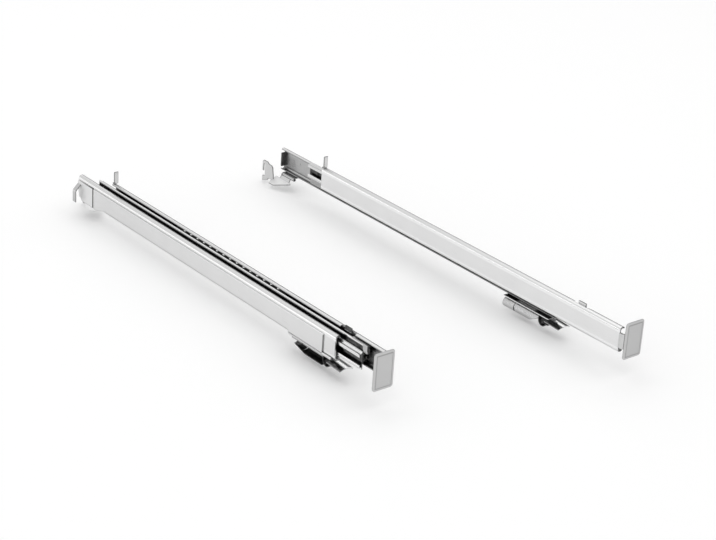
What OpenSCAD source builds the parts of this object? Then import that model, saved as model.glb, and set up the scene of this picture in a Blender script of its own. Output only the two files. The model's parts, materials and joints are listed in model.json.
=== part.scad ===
// A pair of full-extension oven runners that clip onto the side racks.
// Each runner is drawn in its own frame: u runs from the rack side towards the
// middle of the oven, y runs to the rear and z runs up. u = 0 is the wall face of
// the fixed rail, y = 0 is the rear end of the closed tray rail, and z = 0 is the
// height of the tray rail's upper ball row.

/* [Pair] */
// Distance between the wall faces of the two fixed rails
pair_gap = 198.5; // [120:0.5:600]
// How far the right runner stands in front of the left one
pair_stagger = 35; // [0:1:60]
// How far the left tray rail is pulled out
left_pulled = 0; // [0:1:60]
// How far the right tray rail is pulled out
right_pulled = 26; // [0:1:60]
// How far the right middle rail has crept forward on its balls
right_crept = 9; // [0:0.5:12]

/* [Rail section] */
// Thickness of the rail sheet
sheet_t = 1.2; // [1:0.1:1.4]
// Diameter of the balls
ball_d = 3.2; // [3:0.1:3.4]
// Gap between a ball and its groove
ball_play = 0.15; // [0.1:0.01:0.2]
// Height from the lower ball row to the upper one
row_span = 15.2; // [14:0.1:20]
// How much lower the fixed rail sits than the tray rail
rail_drop = 5.8; // [4:0.1:7]
// Thickness of each half of the middle rail
mid_t = 0.9; // [0.7:0.1:1]
// Gap between the two rails' ball rows that the middle rail fills
row_gap = 6.1; // [5.9:0.1:8]
// How far round the ball the rail's lip turns, in degrees
lip_turn = 140; // [120:1:145]
// Height of the hem on the middle rail's inner edges
hem_h = 2.4; // [1:0.1:3]

/* [Lengths] */
// Length of the tray rail
tray_rail_len = 372; // [330:1:450]
// How far the fixed rail's front end is behind the tray rail's
wall_front_gap = 50; // [40:1:56]
// How far the middle rail's front end is behind the tray rail's
mid_front_gap = 24; // [10:1:36]
// How far the fixed rail reaches behind the closed tray rail
wall_rail_rear = 43; // [36:1:60]
// How far the middle rail reaches behind the closed tray rail
mid_rail_rear = 19; // [12:1:24]

/* [Gauge holes] */
// Diameter of the two gauge holes in the fixed rail
gauge_d = 1.6; // [1:0.1:2.4]
// Distance of the first hole from the fixed rail's rear end
gauge_end = 14; // [10:0.5:20]
// Distance between the two holes
gauge_pitch = 10; // [6:0.5:14]
// Distance of the holes below the fixed rail's upper ball row
gauge_drop = 5.6; // [4:0.1:7.6]

/* [Ball cages] */
// Length of each ball cage
cage_len = 150; // [90:1:160]
// Distance from one ball to the next
ball_pitch = 9.2; // [6:0.1:14]
// Thickness of the cage's web
cage_t = 0.5; // [0.4:0.05:0.6]
// Thickness of the fingers between the balls
finger_t = 0.8; // [0.5:0.1:1]
// Gap between a ball and its pocket
pocket_play = 0.1; // [0.05:0.01:0.15]
// Gap between the cage and the rail beside it
cage_play = 0.2; // [0.15:0.01:0.25]

/* [Middle rail rivets] */
// Diameter of a rivet's shank
rivet_d = 2.4; // [1.6:0.1:3]
// Diameter of a rivet's head
rivet_head_d = 4.2; // [3.4:0.1:5]
// Height of a rivet's head
rivet_head_h = 0.5; // [0.3:0.05:0.7]
// Number of rivets
rivet_count = 5; // [3:1:9]
// Distance of the end rivets from the ends of the middle rail
rivet_end = 21; // [10:1:60]

/* [Holder plate] */
// Thickness of the holder plate
holder_t = 1; // [0.8:0.1:1.4]
// Rear edge of the holder plate
holder_rear = 17.4; // [10:0.1:24]
// Distance of its front edge behind the tray rail's front end
holder_front_gap = 64.2; // [60:0.1:72]
// Distance of its top edge below the fixed rail's upper ball row
holder_inset = 1; // [0.5:0.1:3]
// Length of the front tab that folds under the fixed rail
front_tab_len = 42; // [40:0.1:60]
// Length of the slanting rear tab
rear_tab_len = 18; // [8:0.5:20]
// Gap under the fixed rail
under_gap = 0.1; // [0.05:0.05:0.3]
// How far the folds reach towards the middle of the oven
fold_w = 8.6; // [8:0.1:11]
// How far the front fold runs on past the plate
fold_on = 11; // [8:0.5:13]

/* [Rear hook] */
// Thickness of the hook plate
hook_t = 0.8; // [0.6:0.1:1]
// Seam between the hook plate and the holder plate
hook_seam = 0.8; // [0.4:0.1:1.5]
// Width of the hook's strip
hook_w = 4.8; // [4.2:0.1:8]
// Free width inside the hook
hook_gap = 4.5; // [4.5:0.1:8]
// Depth of the hook's strip below its shoulder
hook_depth = 9.7; // [6:0.1:12]
// Drop of the hook's shoulder below the fixed rail's upper ball row
hook_drop = 4.8; // [4:0.1:8]
// Slope of the hook's shoulder
hook_slope = 5; // [0:0.1:6]
// Outer radius of the rolled edge under the rear fold
roll_r = 1.6; // [1.3:0.1:1.6]
// Length of the rolled edge
roll_len = 18; // [12:1:18]
// Distance of the rolled edge's axis from the wall face
roll_u = 6.9; // [6.8:0.1:7.2]

/* [Front clip] */
// Diameter of the rack wire that the clip grips
wire_d = 6.2; // [6:0.1:7]
// Thickness of the clip's spring sheet
clip_t = 1; // [0.7:0.1:1.2]
// Distance of the wire from the wall face
clip_u = 5.3; // [5:0.1:6]
// Height of the clip's neck under the fold
clip_neck = 1; // [0.8:0.1:4]
// Length of each of the clip's two sleeves
sleeve_len = 13; // [8:0.5:15]
// Gap between the sleeves
sleeve_gap = 1; // [0.5:0.1:2]
// Length of the clip's tapered end
taper_len = 13; // [8:0.5:15]
// Angle of the mouth that takes the wire, in degrees
mouth_deg = 84; // [60:1:100]
// width of the flat lip that leads the wire in
clip_lip = 4.5; // [2:0.1:4.6]
// length over which that lip widens
lip_run = 18; // [10:0.5:24]

/* [Catch and tongue] */
// Thickness of the catch and the tongue
tongue_t = 0.9; // [0.7:0.1:1.2]
// Width of the catch
catch_w = 9; // [6:0.5:10]
// Gap from the clip to the catch
catch_gap = 1.5; // [0.5:0.5:4]
// Outer radius of the catch's curl
catch_r = 4.6; // [3:0.1:6]
// Distance of the curl's axis below the fold
catch_drop = 3; // [1:0.1:5]
// Length of the catch's small toe
catch_toe = 2.6; // [1.5:0.1:4]
// Length of the guide tongue
tongue_len = 16.5; // [12:0.5:24]
// How far the tongue's middle sits from the wire's axis towards the rack
tongue_out = 1.5; // [0:0.1:3]
// Radius of the tongue's arch
tongue_r = 16; // [12:0.5:24]
// Half of the tongue's arch angle, in degrees
tongue_half = 22; // [14:1:26]
// Slope of the tongue towards the front, in degrees
tongue_slope = 3; // [2:0.5:10]

/* [Rear bracket] */
// Thickness of the rear bracket
bracket_t = 1; // [0.8:0.1:1.4]
// Distance of the upright from the wall face
upright_u = 13.4; // [13:0.1:15]
// Height of the upright
upright_h = 20.6; // [18:0.2:24]
// How far the upright reaches below the flap's inner edge
upright_below = 8; // [6:0.5:10]
// Width of the upright
upright_w = 15.4; // [14:0.2:18]
// Height of the upright's foot under its slot
upright_foot = 5.2; // [4:0.1:6]
// Corner cut of the upright
upright_corner = 1.6; // [1:0.1:2.4]
// Width of each of the upright's prongs
prong_w = 1.9; // [1.4:0.1:2.4]
// Length of the hanging prong
prong_len = 9; // [6:0.1:9.6]
// Distance of the slot's top below the upright's top
slot_top = 3.4; // [2.4:0.1:4]
// Height of the flap's inner edge below the rear fold
flap_drop = 4.9; // [3:0.1:8]
// Length of the flap's fixed edge
flap_len = 21; // [18:0.5:24]
// Width of the flap
flap_w = 10.6; // [9:0.1:12]
// How far the flap's tip runs on
flap_tip = 2.5; // [1:0.1:4]
// Length of the flap's straight outer edge
flap_straight = 8; // [4:0.5:12]
// Length of the web between the rolled edge and the flap
web_len = 14; // [8:1:18]
// Slope of the flap towards the middle of the oven, in degrees
flap_slope = 25; // [10:1:30]

/* [End plate] */
// Width of the end plate
plate_w = 19; // [16:0.5:30]
// Height of the end plate
plate_h = 30.8; // [26:0.2:40]
// Thickness of the end plate's sheet
plate_t = 1.2; // [0.8:0.1:2]
// Radius of the end plate's corners
plate_r = 2.4; // [1:0.1:4]
// Width of the flat border round the pressed panel
plate_border = 2; // [1:0.1:4]
// Height of the pressed panel
panel_h = 0.5; // [0.2:0.1:1]
// Height of the end plate's top above the upper ball row
plate_top = 8; // [5:0.5:12]
// Distance of the plate's inner edge from the tray face
plate_inset = 1; // [0:0.1:2]
// Gap from the tray rail's end to the plate
plate_gap = 4.4; // [3:0.1:8]

/* [Tray stops] */
// Height of the rear stop above the tray rail
stop_h = 11.3; // [6:0.1:16]
// Width of the rear stop
stop_w = 4; // [3:0.1:5]
// Thickness of the rear stop
stop_t = 1.4; // [1:0.1:2]
// Length of the rear stop's foot
foot_len = 5; // [3:0.5:10]
// Distance of the lug's notch from the tray rail's front end
notch_front_gap = 36; // [24:1:110]
// Length of the notch
notch_len = 18; // [11:1:20]
// Length of the lug
lug_len = 8; // [5:0.5:9.5]
// Height of the lug above the tray rail
lug_h = 2.1; // [0.5:0.1:4]

/* [Hidden] */
LEFT = 0;
RIGHT = 1;
$fn = 48;

// Colours, as the metal looks in daylight.
steel = [0.82, 0.82, 0.83];
spring = [0.74, 0.74, 0.75];
chrome = [0.9, 0.9, 0.91];
dark = [0.45, 0.45, 0.47];

// Shares of the tray rail's travel that each moving body makes.
WALL_SIDE = 0;
WALL_CAGE = 0.25;
MIDDLE = 0.5;
TRAY_CAGE = 0.75;
TRAY_SIDE = 1;

// The section, worked out from the balls.
ball_r = ball_d / 2;
groove_r = ball_r + ball_play;
lip_r = groove_r + sheet_t;
wall_row = lip_r;
tray_row = wall_row + row_gap;
section_w = tray_row + lip_r;
mid_u = section_w / 2;
cradle_r = groove_r + mid_t;
cradle_start = 20;
cradle_end = 105;
cage_face = sheet_t + cage_play;
finger_end = wall_row + ball_r - 0.05;
rail_front = tray_rail_len;
wall_rail_front = rail_front - wall_front_gap;
mid_rail_front = rail_front - mid_front_gap;
holder_front = rail_front - holder_front_gap;
notch_at = rail_front - notch_front_gap - notch_len;
wall_rail_len = wall_rail_front + wall_rail_rear;
mid_rail_len = mid_rail_front + mid_rail_rear;

// Heights under the fixed rail.
rail_bottom = -rail_drop - row_span - lip_r;
fold_top = rail_bottom - under_gap;
fold_bottom = fold_top - holder_t;
holder_top = -rail_drop - holder_inset;
holder_bottom = -rail_drop - row_span;

// The front clip.
clip_ri = wire_d / 2;
clip_ro = clip_ri + clip_t;
clip_z = fold_bottom - clip_neck - clip_ro;
clip_rear = holder_front - front_tab_len + 0.6;
clip_len = 2 * sleeve_len + sleeve_gap + taper_len;
clip_mid = clip_rear + sleeve_len / 2;

// The origin is on the wire's axis, in the left clip's rear sleeve.
origin = [clip_u, -clip_mid, clip_z];

// Puts a runner's piece in its place. share says how much of the pull it makes. The
// middle rail makes all of its own creep, and each cage makes half of it.
module place(side, share) {
    pulled = side == LEFT ? left_pulled : right_pulled;
    crept = side == LEFT ? 0 : right_crept * (1 - abs(2 * share - 1));
    ahead = (side == LEFT ? 0 : pair_stagger) + share * pulled + crept;
    translate([side * pair_gap, -ahead, 0] - origin)
        if (side == LEFT) children();
        else mirror([1, 0, 0]) children();
}

// Carries a flat section, drawn in u and z, forwards from y = rear.
module along(rear, length) {
    translate([0, rear, 0]) rotate([90, 0, 0]) linear_extrude(length) children();
}

// Carries an outline, drawn in y and z, from u = start towards the oven's middle.
module across(start, width) {
    translate([start, 0, 0]) rotate([90, 0, 90]) linear_extrude(width) children();
}

// Part of a ring, from angle a0 to angle a1.
module ring_part(r_in, r_out, a0, a1) {
    far = 2 * r_out;
    steps = 6;
    intersection() {
        difference() {
            circle(r_out);
            circle(r_in);
        }
        polygon(concat([[0, 0]], [for (i = [0:steps])
            far * [cos(a0 + (a1 - a0) * i / steps), sin(a0 + (a1 - a0) * i / steps)]]));
    }
}

// The rolled C section of a rail: a web with a lip round each ball row.
module rail_section() {
    translate([0, -row_span]) square([sheet_t, row_span]);
    for (row = [0, 1])
        translate([wall_row, -row * row_span]) mirror([0, row])
            ring_part(groove_r, lip_r, 180 - lip_turn, 181);
}

// Half of the middle rail: a web with a cradle and a hem at each ball row.
module middle_section() {
    translate([mid_u - mid_t, -row_span]) square([mid_t, row_span]);
    for (row = [0, 1])
        translate([wall_row, -row * row_span]) mirror([0, row]) {
            ring_part(groove_r, cradle_r, -cradle_end, -cradle_start);
            translate([cradle_r * cos(cradle_end), -cradle_r + 0.4 - hem_h])
                square([mid_t, hem_h]);
        }
}

// The cage: a web beside the rail, and fingers that reach between the balls.
module cage_section() {
    reach = 0.6;
    translate([cage_face, -row_span - reach]) square([cage_t, row_span + 2 * reach]);
    for (row = [0, 1])
        translate([cage_face, -row * row_span - finger_t / 2])
            square([finger_end - cage_face, finger_t]);
}

// Turns a wall-side shape round into the tray side's, which sits higher.
module tray_turn() {
    translate([section_w, 0, 0]) mirror([1, 0, 0]) children();
}

// Moves a shape down to the fixed rail's height.
module wall_height() {
    translate([0, 0, -rail_drop]) children();
}

// The y position of the middle of a cage, halfway along the rails' overlap.
wall_cage_mid = (mid_rail_rear - wall_rail_front) / 2;
tray_cage_mid = (0 - mid_rail_front) / 2;
ball_count = floor((cage_len - ball_pitch / 2) / ball_pitch);

// Calls its children at each ball of one cage.
module at_balls(middle) {
    for (row = [0, 1], i = [0:ball_count - 1])
        translate([wall_row, middle + (i - (ball_count - 1) / 2) * ball_pitch, -row * row_span])
            children();
}

module balls(middle) {
    color(chrome) at_balls(middle) sphere(ball_r, $fn = 24);
}

module cage(middle) {
    pocket_r = ball_r + pocket_play;
    pocket_h = 2 * pocket_r;
    color(dark) difference() {
        along(middle + cage_len / 2, cage_len) cage_section();
        at_balls(middle) translate([0, 0, -pocket_h / 2]) cylinder(r = pocket_r, h = pocket_h);
    }
}

// Where the rivets go, on the height that both halves' webs share.
rivet_z = -(row_span + rail_drop) / 2;
rivet_pitch = (mid_rail_len - 2 * rivet_end) / (rivet_count - 1);

module at_rivets() {
    for (i = [0:rivet_count - 1])
        translate([mid_u, mid_rail_rear - rivet_end - i * rivet_pitch, rivet_z])
            rotate([0, 90, 0]) children();
}

module rivet_holes() {
    at_rivets() cylinder(d = rivet_d, h = 4 * mid_t, center = true);
}

// The fixed rail, with a turned-in rear end and two gauge holes.
module fixed_rail(side) {
    end_w = 2 * lip_r - sheet_t;
    end_h = row_span - 2;
    first = wall_rail_rear - gauge_end;
    color(steel) place(side, WALL_SIDE) wall_height() difference() {
        union() {
            along(wall_rail_rear, wall_rail_len) rail_section();
            translate([sheet_t / 2, wall_rail_rear - sheet_t, -row_span + 0.5])
                cube([end_w, sheet_t, end_h]);
        }
        for (i = [0, 1])
            translate([-sheet_t, first - i * gauge_pitch, -gauge_drop]) rotate([0, 90, 0])
                cylinder(d = gauge_d, h = 4 * sheet_t);
    }
}

module middle_rail_wall_half(side) {
    color(chrome) place(side, MIDDLE) difference() {
        wall_height() along(mid_rail_rear, mid_rail_len) middle_section();
        rivet_holes();
    }
}

module middle_rail_tray_half(side) {
    color(chrome) place(side, MIDDLE) difference() {
        tray_turn() along(mid_rail_rear, mid_rail_len) middle_section();
        rivet_holes();
    }
}

module middle_rivets(side) {
    shank_play = 0.03;
    color(spring) place(side, MIDDLE) at_rivets() {
        cylinder(d = rivet_d - 2 * shank_play, h = 2 * mid_t, center = true);
        for (end = [0, 1]) mirror([0, 0, end])
            translate([0, 0, mid_t]) cylinder(d = rivet_head_d, h = rivet_head_h);
    }
}

// The bright block on the middle rail's front end that stops the tray rail.
module middle_stop(side) {
    stop_len = 5;
    block = [2.4, stop_len, 4];
    strip_len = 13.5;
    seat = 0.02;
    color(chrome) place(side, MIDDLE)
        translate([mid_u, -mid_rail_front - stop_len, 0]) difference() {
            union() {
                translate([-mid_t / 2, 0, -6]) cube(block - [0, seat, 0]);
                translate([-mid_t, 0, -4]) cube([2 * mid_t, stop_len - seat, 4 + 2 * seat]);
                translate([-mid_t, 0, seat]) cube([2 * mid_t + 0.6, stop_len + strip_len, 0.8]);
            }
            translate([block[0] / 2 - mid_t / 2, stop_len / 2, -7]) cylinder(d = 1.2, h = 9);
        }
}

module wall_cage(side) {
    place(side, WALL_CAGE) wall_height() cage(wall_cage_mid);
}

module wall_balls(side) {
    place(side, WALL_CAGE) wall_height() balls(wall_cage_mid);
}

module tray_cage(side) {
    place(side, TRAY_CAGE) tray_turn() cage(tray_cage_mid);
}

module tray_balls(side) {
    place(side, TRAY_CAGE) tray_turn() balls(tray_cage_mid);
}

// The tray rail, with a notch and a raised lug near the front of its upper lip. Its web
// runs on as a neck that bends round behind the end plate.
module tray_rail(side) {
    lug_u = tray_row - 1.6;
    notch_low = lip_r - 2.2;
    notch_h = 3;
    neck_in = 1.2;
    bend_r = 2.4;
    flange_len = 5;
    neck_h = row_span - 2 * neck_in;
    front = -rail_front - plate_gap;
    color(steel) place(side, TRAY_SIDE) {
        difference() {
            tray_turn() along(0, tray_rail_len) rail_section();
            translate([mid_u, -notch_at - notch_len, notch_low])
                cube([lug_u - mid_u, notch_len, notch_h]);
            for (end = [0, 1])
                translate([lug_u - 0.1, -notch_at - end * (notch_len + lug_len) / 2, notch_low])
                    mirror([0, 1, 0])
                        cube([tray_row - lug_u + 0.1, (notch_len - lug_len) / 2, notch_h]);
        }
        translate([lug_u, -notch_at - (notch_len + lug_len) / 2, groove_r])
            cube([sheet_t, lug_len, sheet_t + lug_h]);
        translate([section_w - sheet_t, front + bend_r, neck_in - row_span])
            cube([sheet_t, plate_gap - bend_r + 0.1, neck_h]);
        translate([section_w - bend_r, front + bend_r, neck_in - row_span])
            linear_extrude(neck_h) ring_part(bend_r - sheet_t, bend_r, -90, 0);
        translate([section_w - bend_r - flange_len, front, neck_in - row_span])
            cube([flange_len, sheet_t, neck_h]);
    }
}

// The upright tab behind the tray rail that keeps the tray from sliding back.
module rear_stop(side) {
    foot_t = 1.1;
    seat = 0.02;
    ahead = 2.8;
    color(spring) place(side, TRAY_SIDE) {
        translate([section_w - stop_w - 0.3, -ahead, lip_r + seat])
            cube([stop_w, stop_t, stop_h]);
        translate([tray_row - 1.7, -ahead - foot_len / 2, lip_r + seat])
            cube([3.4, foot_len, foot_t]);
    }
}

module rounded_rect(w, h, r) {
    translate([r, 0]) square([w - 2 * r, h]);
    translate([0, r]) square([w, h - 2 * r]);
    for (x = [r, w - r], z = [r, h - r]) translate([x, z]) circle(r);
}

// The end plate, a sheet with a pressed panel on its front.
module end_plate(side) {
    inner = section_w - plate_inset;
    back = -rail_front - plate_gap;
    color(steel) place(side, TRAY_SIDE) {
        translate([inner - plate_w, 0, plate_top - plate_h]) {
            along(back, plate_t) rounded_rect(plate_w, plate_h, plate_r);
            translate([plate_border, 0, plate_border]) along(back - plate_t, panel_h)
                rounded_rect(plate_w - 2 * plate_border, plate_h - 2 * plate_border, plate_r / 2);
        }
    }
}

// The plate on the rack side. A tab at each end comes down under the fixed rail,
// and the front one folds in to carry the clip, the catch and the tongue.
module holder_plate(side) {
    drop = holder_bottom - fold_bottom;
    front_tab_rear = holder_front - front_tab_len;
    color(steel) place(side, WALL_SIDE) {
        across(-holder_t, holder_t) polygon([
            [holder_rear, holder_top], [holder_rear, fold_bottom],
            [holder_rear - rear_tab_len / 4, fold_bottom],
            [holder_rear - rear_tab_len, holder_bottom],
            [-front_tab_rear + drop / 3, holder_bottom],
            [-front_tab_rear, fold_bottom], [-holder_front, fold_bottom],
            [-holder_front, holder_top]
        ]);
        translate([-holder_t, -holder_front - fold_on, fold_bottom])
            cube([fold_w + holder_t, front_tab_len + fold_on, holder_t]);
    }
}

// The plate behind the holder plate. Its strip hooks over the upper rack wire, and
// the fold under the fixed rail ends in a rolled edge.
module rear_hook(side) {
    front = holder_rear + hook_seam;
    shoulder = -rail_drop - hook_drop;
    out = hook_gap + hook_t;
    fold_rear = wall_rail_rear - 6;
    roll_z = fold_top - roll_r;
    color(spring) place(side, WALL_SIDE) {
        across(-hook_t, hook_t) polygon([
            [wall_rail_rear, holder_top], [wall_rail_rear, shoulder - 6],
            [fold_rear, fold_bottom], [front, fold_bottom], [front, holder_top]
        ]);
        along(wall_rail_rear, hook_w) polygon([
            [-hook_t, shoulder + hook_t], [-out - hook_t, shoulder + hook_t - hook_slope],
            [-out - hook_t, shoulder - hook_slope - hook_depth],
            [-out, shoulder - hook_slope - hook_depth],
            [-out, shoulder - hook_slope], [-hook_t, shoulder]
        ]);
        translate([-hook_t, front, fold_top - hook_t])
            cube([roll_u + hook_t, fold_rear - front, hook_t]);
        translate([roll_u, 0, roll_z]) along(fold_rear, roll_len)
            ring_part(roll_r - hook_t, roll_r, -180, 91);
    }
}

// The bracket at the rear: a sloping flap, and an upright with two prongs. A short web
// joins the flap to the rolled edge.
module rear_bracket(side) {
    flap_z = fold_bottom - flap_drop;
    flap_u = upright_u - 4;
    rear = wall_rail_rear + upright_w;
    low = flap_z - upright_below;
    top = low + upright_h;
    prong_low = top - upright_corner - prong_len;
    slot_u = rear - 2 * prong_w;
    web_z = fold_top - 1.7 * roll_r;
    web_u = roll_u + 0.75 * roll_r;
    web_rear = wall_rail_rear - 6;
    color(spring) place(side, WALL_SIDE) {
        across(upright_u, bracket_t) polygon([
            [wall_rail_rear - 2, low + upright_foot], [wall_rail_rear, top - 2 * upright_corner],
            [wall_rail_rear + prong_w, top - upright_corner],
            [wall_rail_rear + 3 * prong_w, top - upright_corner],
            [wall_rail_rear + 4 * prong_w, top], [rear - upright_corner, top],
            [rear, top - upright_corner], [rear, prong_low], [rear - prong_w, prong_low],
            [rear - prong_w, top - slot_top], [slot_u, top - slot_top],
            [slot_u, low + upright_foot + 0.8], [rear, low + upright_foot],
            [rear, low], [rear - upright_w / 2, low + upright_foot / 2],
            [rear - upright_w / 2 - 2, low + upright_foot]
        ]);
        translate([flap_u, 0, flap_z]) rotate([0, flap_slope, 0]) linear_extrude(bracket_t)
            polygon([[0, wall_rail_rear], [0, wall_rail_rear - flap_len],
                     [1.2, wall_rail_rear - flap_len - flap_tip],
                     [flap_w, wall_rail_rear - flap_straight], [flap_w, wall_rail_rear - 1]]);
        along(web_rear, web_len) polygon([
            [web_u, web_z], [web_u + 0.7, web_z + 0.7],
            [flap_u + bracket_t, flap_z + bracket_t / 2], [flap_u, flap_z]
        ]);
    }
}

// The spring clip: two rolled sleeves and a tail that snap onto the rack wire from the
// side, a flat lip that leads the wire in, and a neck up to the fold. The right clip's
// tail is cut to a slant.
module front_clip(side) {
    neck_over = 0.4;
    color(spring) place(side, WALL_SIDE) difference() {
        union() {
            translate([clip_u, 0, clip_z]) along(-clip_rear, clip_len)
                ring_part(clip_ri, clip_ro, -90, 180 - mouth_deg / 2);
            translate([clip_u, -clip_rear, clip_z - clip_ro]) linear_extrude(clip_t)
                polygon([[0.1, 0], [0, 0], [-clip_lip, -lip_run],
                         [-clip_lip, -clip_len], [0.1, -clip_len]]);
            translate([clip_u - clip_t / 2, -clip_rear - clip_len, clip_z + clip_ro - neck_over])
                cube([clip_t, clip_len, clip_neck + neck_over]);
        }
        translate([0, -clip_rear - sleeve_len - sleeve_gap, clip_z - 2 * clip_ro])
            cube([4 * clip_ro, sleeve_gap, 3 * clip_ro - clip_t]);
        if (side == RIGHT) across(clip_u - 2 * clip_ro, 4 * clip_ro) polygon([
            [-clip_rear - clip_len + taper_len, clip_z - clip_ro - 1],
            [-clip_rear - clip_len - 1, clip_z + clip_ro - 2 * clip_t],
            [-clip_rear - clip_len - 1, clip_z - clip_ro - 1]
        ]);
    }
}

// The catch: a strip that comes down from the fold, curls forward and ends in a toe.
module catch(side) {
    rear = clip_rear + clip_len + catch_gap;
    curl_z = fold_bottom - catch_drop;
    tip = 200;
    color(spring) place(side, WALL_SIDE) {
        across(0, catch_w) translate([-rear - catch_r, curl_z])
            ring_part(catch_r - tongue_t, catch_r, tip - 360, 1);
        across(0, catch_w) translate([-rear - tongue_t, curl_z]) square([tongue_t, catch_drop]);
        across(0, catch_w)
            translate([-rear - catch_r * (1 - cos(tip)) - catch_toe, curl_z + catch_r * sin(tip)])
                square([catch_toe + tongue_t / 2, tongue_t]);
    }
}

// The guide tongue: a shallow arch that slopes down to the front.
module guide_tongue(side) {
    rear = holder_front + fold_on - 2.8;
    color(chrome) place(side, WALL_SIDE)
        translate([clip_u - tongue_out, -rear, fold_bottom]) rotate([tongue_slope, 0, 0])
            translate([0, 0, -tongue_r]) along(0, tongue_len)
                ring_part(tongue_r - tongue_t, tongue_r, 90 - tongue_half, 90 + tongue_half);
}

fixed_rail(LEFT);  // left_fixed_rail
middle_rail_wall_half(LEFT);  // left_middle_rail_wall_half
middle_rail_tray_half(LEFT);  // left_middle_rail_tray_half
middle_rivets(LEFT);  // left_middle_rivets
middle_stop(LEFT);  // left_middle_stop
wall_cage(LEFT);  // left_wall_cage
wall_balls(LEFT);  // left_wall_balls
tray_cage(LEFT);  // left_tray_cage
tray_balls(LEFT);  // left_tray_balls
tray_rail(LEFT);  // left_tray_rail
rear_stop(LEFT);  // left_rear_stop
end_plate(LEFT);  // left_end_plate
holder_plate(LEFT);  // left_holder_plate
rear_hook(LEFT);  // left_rear_hook
rear_bracket(LEFT);  // left_rear_bracket
front_clip(LEFT);  // left_front_clip
catch(LEFT);  // left_catch
guide_tongue(LEFT);  // left_guide_tongue
fixed_rail(RIGHT);  // right_fixed_rail
middle_rail_wall_half(RIGHT);  // right_middle_rail_wall_half
middle_rail_tray_half(RIGHT);  // right_middle_rail_tray_half
middle_rivets(RIGHT);  // right_middle_rivets
middle_stop(RIGHT);  // right_middle_stop
wall_cage(RIGHT);  // right_wall_cage
wall_balls(RIGHT);  // right_wall_balls
tray_cage(RIGHT);  // right_tray_cage
tray_balls(RIGHT);  // right_tray_balls
tray_rail(RIGHT);  // right_tray_rail
rear_stop(RIGHT);  // right_rear_stop
end_plate(RIGHT);  // right_end_plate
holder_plate(RIGHT);  // right_holder_plate
rear_hook(RIGHT);  // right_rear_hook
rear_bracket(RIGHT);  // right_rear_bracket
front_clip(RIGHT);  // right_front_clip
catch(RIGHT);  // right_catch
guide_tongue(RIGHT);  // right_guide_tongue
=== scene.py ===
"""Looks of the pair of oven runners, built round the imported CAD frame.

Each runner is drawn in its own millimetres: u runs from the rack side towards the middle of
the oven, y to the rear, and z up from the tray rail's upper ball row.
"""

import json

import bpy
import numpy as np
from mathutils import Matrix, Vector


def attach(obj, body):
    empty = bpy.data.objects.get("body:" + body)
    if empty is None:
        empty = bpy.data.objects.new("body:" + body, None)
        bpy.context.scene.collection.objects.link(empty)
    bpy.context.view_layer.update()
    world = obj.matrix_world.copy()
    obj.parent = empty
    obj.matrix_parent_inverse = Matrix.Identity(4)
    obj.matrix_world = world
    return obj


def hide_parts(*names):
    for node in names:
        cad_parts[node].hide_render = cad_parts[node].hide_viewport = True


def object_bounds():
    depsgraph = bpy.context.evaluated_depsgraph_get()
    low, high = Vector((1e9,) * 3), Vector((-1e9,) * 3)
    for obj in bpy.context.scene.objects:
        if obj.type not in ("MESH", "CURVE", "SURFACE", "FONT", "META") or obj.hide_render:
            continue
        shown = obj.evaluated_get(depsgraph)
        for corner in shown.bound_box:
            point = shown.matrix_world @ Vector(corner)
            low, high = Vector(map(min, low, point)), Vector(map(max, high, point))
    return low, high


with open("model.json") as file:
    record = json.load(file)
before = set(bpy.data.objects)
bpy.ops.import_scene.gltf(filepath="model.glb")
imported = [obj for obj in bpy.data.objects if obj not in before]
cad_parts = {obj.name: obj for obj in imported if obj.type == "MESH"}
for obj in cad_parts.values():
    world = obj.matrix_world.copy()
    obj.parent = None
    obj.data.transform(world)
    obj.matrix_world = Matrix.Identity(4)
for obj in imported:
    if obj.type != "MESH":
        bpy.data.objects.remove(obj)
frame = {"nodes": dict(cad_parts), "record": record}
CAD_BOX = [list(corner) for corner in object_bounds()]


# Sizes, in millimetres, as in the CAD.

# The pair: the distance between the rails' wall faces, how far the right runner stands forwards,
# and how far its moving bodies are pulled out.
SIDES = ("left", "right")
PAIR_GAP = 198.5
PAIR_STAGGER = 35.0
PULLED = {"middle": 22.0, "tray_side": 26.0}

# The section: the height between a rail's two ball rows, how much lower the fixed rail sits, the
# sheets' thicknesses, the inner and outer radius of a lip, its turn in degrees, and the width of
# both rails together.
ROW_SPAN = 15.2
RAIL_DROP = 5.8
RAIL_T = 1.2
MIDDLE_T = 0.9
GROOVE_R = 1.75
LIP_R = 2.95
LIP_TURN = 140
SECTION_W = 12.0

# How far each rail reaches in front of the closed tray rail's rear end, or behind it, the two
# edges of the notch with the lug's between them, and the back of the end plate.
RAIL_FRONT = 372.0
MIDDLE_FRONT = 348.0
MIDDLE_REAR = 19.0
WALL_RAIL_FRONT = 322.0
WALL_RAIL_REAR = 43.0
NOTCH = (-318.0, -323.0, -331.0, -336.0)
PLATE_BACK = -RAIL_FRONT - 4.4

# The two gauge holes: how far before the fixed rail's rear end, how far below its upper ball row,
# and their radius.
GAUGE_HOLES = (14, 24)
GAUGE_DROP = 5.6
GAUGE_R = 0.8

# The holder plate, the folds under the fixed rail, and the parts on them. The catch is as thick
# as the tongue.
FOLD_TOP = -24.05
FOLD_BOTTOM = -25.05
HOLDER_T = 1.0
HOLDER_TOP = -6.8
HOLDER_BOTTOM = -21.0
HOLDER_REAR = 17.4
HOLDER_FRONT = 307.8
FRONT_TAB = 42.0
HOOK_T = 0.8
CLIP_AT = np.array([5.3, -272.9, -30.15])
CLIP_R = 4.1
CLIP_T = 1.0
CATCH_REAR = -307.9
TONGUE_REAR = -316.0
TONGUE_T = 0.9
BRACKET_T = 1.0

# How far the edges of rolled rails, flat plates and bent spring sheet are rounded.
RAIL_EDGE = 0.2
PLATE_EDGE = 0.15
SPRING_EDGE = 0.25

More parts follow.
